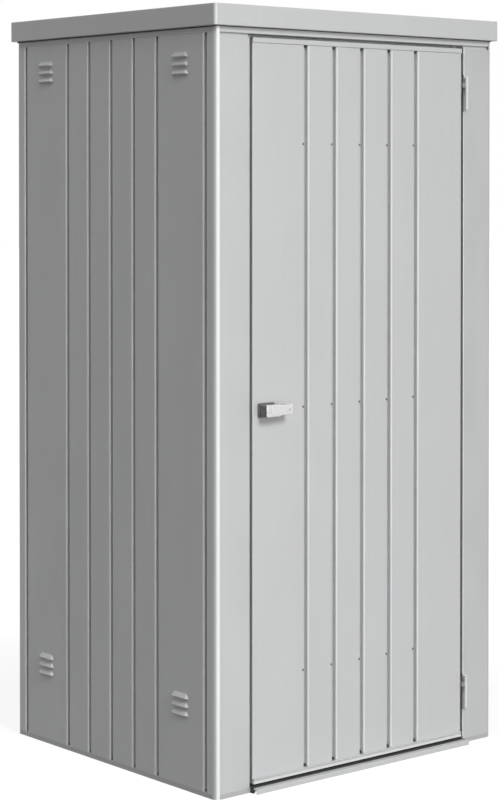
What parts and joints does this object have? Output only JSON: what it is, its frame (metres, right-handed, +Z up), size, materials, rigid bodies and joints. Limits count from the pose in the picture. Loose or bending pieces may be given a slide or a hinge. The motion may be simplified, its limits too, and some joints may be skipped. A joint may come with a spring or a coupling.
{
  "type": "metal tool shed",
  "caption": "Tall narrow sheet-metal tool shed with grooved walls, flat roof with a deep edge, louvred vents, a sill and one hinged grooved door with a turning lock handle.",
  "frame": {"origin": "on the ground under the middle of the walls' footprint", "axes": "+Z up, the door faces -Y, +X to the right of someone facing the door"},
  "size_m": [0.93, 0.85, 1.825],
  "materials": {
    "silver_paint": "satin silver-grey metallic paint on galvanised sheet",
    "hinge_metal": "bright zinc-plated steel",
    "galvanised_inside": "plain galvanised sheet",
    "handle_white": "satin white-silver lacquer on die-cast metal",
    "handle_grey": "dark grey satin lacquer on die-cast metal",
    "seal_rubber": "matt black rubber strip",
    "lock_steel": "dull zinc-plated steel"
  },
  "bodies": {
    "shed": {"floor_panel": "galvanised_inside", "base_rail_left": "silver_paint", "base_rail_right": "silver_paint", "base_rail_back": "silver_paint", "base_rail_front": "silver_paint", "door_sill": "silver_paint", "sill_seal": "seal_rubber", "front_left_post": "silver_paint", "front_right_post": "silver_paint", "back_right_post": "silver_paint", "back_left_post": "silver_paint", "left_wall": "silver_paint", "right_wall": "silver_paint", "back_wall": "silver_paint", "top_rail_left": "silver_paint", "top_rail_right": "silver_paint", "top_rail_back": "silver_paint", "header_rail": "silver_paint", "roof_panel": "silver_paint", "fascia_front": "silver_paint", "fascia_back": "silver_paint", "fascia_left": "silver_paint", "fascia_right": "silver_paint", "upper_hinge_post_half": "hinge_metal", "lower_hinge_post_half": "hinge_metal"},
    "door": {"door_panel": "silver_paint", "door_top_cap": "silver_paint", "door_bottom_cap": "silver_paint", "door_upper_cross_rail": "silver_paint", "door_middle_cross_rail": "silver_paint", "door_lower_cross_rail": "silver_paint", "upper_hinge_door_half": "hinge_metal", "lower_hinge_door_half": "hinge_metal", "lock_rose": "handle_grey", "lock_case": "lock_steel"},
    "handle": {"handle_lever": "handle_grey", "handle_cover": "handle_white", "handle_spindle": "lock_steel", "key_cylinder": "lock_steel"}
  },
  "joints": [
    {"name": "door_hinge", "type": "hinge", "parent": "shed", "child": "door", "pos_m": [0.356, -0.409, 0.885], "axis": [0, 0, 1], "range_deg": [0, 120]},
    {"name": "handle_turn", "type": "hinge", "parent": "door", "child": "handle", "pos_m": [-0.304, -0.403, 0.887], "axis": [0, 1, 0], "range_deg": [0, 90]}
  ]
}
